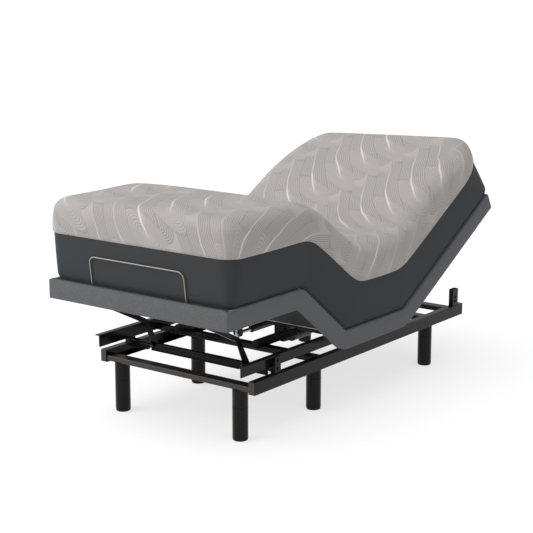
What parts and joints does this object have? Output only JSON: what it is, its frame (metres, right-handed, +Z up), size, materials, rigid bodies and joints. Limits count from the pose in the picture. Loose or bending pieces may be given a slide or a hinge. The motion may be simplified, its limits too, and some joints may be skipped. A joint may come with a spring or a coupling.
{
  "type": "adjustable bed base",
  "caption": "Adjustable bed base: steel rail frame on round legs, upholstered deck that lifts at the head and the knees, retainer bar, mattress in place.",
  "frame": {"origin": "on the floor under the middle of the bed, in the stored raised pose", "axes": "+Z up, +Y towards the head end, +X to the right as seen from the foot end; the bed is mirrored in X apart from its actuators, levers and control box"},
  "size_m": [0.9144, 1.9846, 1.0524],
  "materials": {
    "black_steel": "gloss black powder coat",
    "bronze_steel": "dark bronze satin coat",
    "zinc_steel": "zinc plated",
    "deck_board": "dust cloth over wood board",
    "border_cloth": "woven grey upholstery",
    "black_plastic": "moulded, fine texture",
    "mattress": "knitted cover over charcoal side"
  },
  "bodies": {
    "base_frame": {"control_box": "black_plastic", "end_cross_rail": "black_steel", "front_cross_rail": "bronze_steel", "front_leg_left": "black_steel", "front_leg_right": "black_steel", "front_riser_left": "black_steel", "front_riser_right": "black_steel", "head_actuator_housing": "black_plastic", "head_hinge_rod": "zinc_steel", "head_post_left": "black_steel", "head_post_right": "black_steel", "inner_cross_tube": "black_steel", "inner_rail_left": "black_steel", "inner_rail_right": "black_steel", "leg_actuator_housing": "black_plastic", "lower_rail_left": "black_steel", "lower_rail_right": "black_steel", "mattress_seat": "mattress", "mid_cross_rail": "black_steel", "mid_leg_left": "black_steel", "mid_leg_right": "black_steel", "rear_cross_rail": "black_steel", "rear_leg_left": "black_steel", "rear_leg_right": "black_steel", "rear_riser_left": "black_steel", "rear_riser_right": "black_steel", "seat_board": "deck_board", "seat_border_left": "border_cloth", "seat_border_right": "border_cloth", "seat_cross_tube_front": "black_steel", "seat_cross_tube_rear": "black_steel", "strut_cross_tube": "black_steel", "thigh_hinge_rod": "zinc_steel", "upper_rail_left": "black_steel", "upper_rail_right": "black_steel"},
    "head_deck": {"head_board": "deck_board", "head_border_left": "border_cloth", "head_border_right": "border_cloth", "head_end_border": "border_cloth", "head_lever": "black_steel", "mattress_head": "mattress"},
    "thigh_deck": {"thigh_board": "deck_board", "thigh_border_left": "border_cloth", "thigh_border_right": "border_cloth", "thigh_lever": "black_steel", "knee_hinge_rod": "zinc_steel", "mattress_thigh": "mattress"},
    "leg_deck": {"leg_board": "deck_board", "leg_border_left": "border_cloth", "leg_border_right": "border_cloth", "foot_border": "border_cloth", "strut_bracket_left": "black_steel", "strut_bracket_right": "black_steel", "retainer_bar": "bronze_steel", "mattress_leg": "mattress"},
    "leg_strut_left": {"leg_strut_left": "black_steel"},
    "leg_strut_right": {"leg_strut_right": "black_steel"},
    "head_rod": {"head_actuator_rod": "zinc_steel"},
    "leg_rod": {"leg_actuator_rod": "zinc_steel"}
  },
  "joints": [
    {"name": "head_lift", "type": "hinge", "parent": "base_frame", "child": "head_deck", "pos_m": [0, 0.2314, 0.3432], "axis": [1, 0, 0], "range_deg": [-29.4, 25.6], "deforming": ["mattress_head", "mattress_seat"]},
    {"name": "thigh_lift", "type": "hinge", "parent": "base_frame", "child": "thigh_deck", "pos_m": [0, -0.2195, 0.3432], "axis": [-1, 0, 0], "range_deg": [-38, 0], "deforming": ["mattress_thigh"]},
    {"name": "knee_fold", "type": "hinge", "parent": "thigh_deck", "child": "leg_deck", "pos_m": [0, -0.51957, 0.57764], "axis": [-1, 0, 0], "range_deg": [-0.2, 38.2], "deforming": ["mattress_leg"]},
    {"name": "strut_left_swing", "type": "hinge", "parent": "base_frame", "child": "leg_strut_left", "pos_m": [-0.24, -0.6024, 0.2655], "axis": [-1, 0, 0], "range_deg": [-38.2, 0.2]},
    {"name": "strut_right_swing", "type": "hinge", "parent": "base_frame", "child": "leg_strut_right", "pos_m": [0.24, -0.6024, 0.2655], "axis": [-1, 0, 0], "range_deg": [-38.2, 0.2]},
    {"name": "head_rod_slide", "type": "slide", "parent": "base_frame", "child": "head_rod", "axis": [0, 1, 0], "range_m": [-0.04226, 0.03684]},
    {"name": "leg_rod_slide", "type": "slide", "parent": "base_frame", "child": "leg_rod", "axis": [0, -1, 0], "range_m": [-0.05565, 0.0003]}
  ],
  "couplings": [
    {"joint": "knee_fold", "follows": "thigh_lift", "ratio": -1},
    {"joint": "strut_left_swing", "follows": "thigh_lift", "ratio": 1},
    {"joint": "strut_right_swing", "follows": "thigh_lift", "ratio": 1},
    {"joint": "head_rod_slide", "follows": "head_lift", "m_per_rad": 0.08177},
    {"joint": "leg_rod_slide", "follows": "thigh_lift", "m_per_rad": 0.08345}
  ]
}
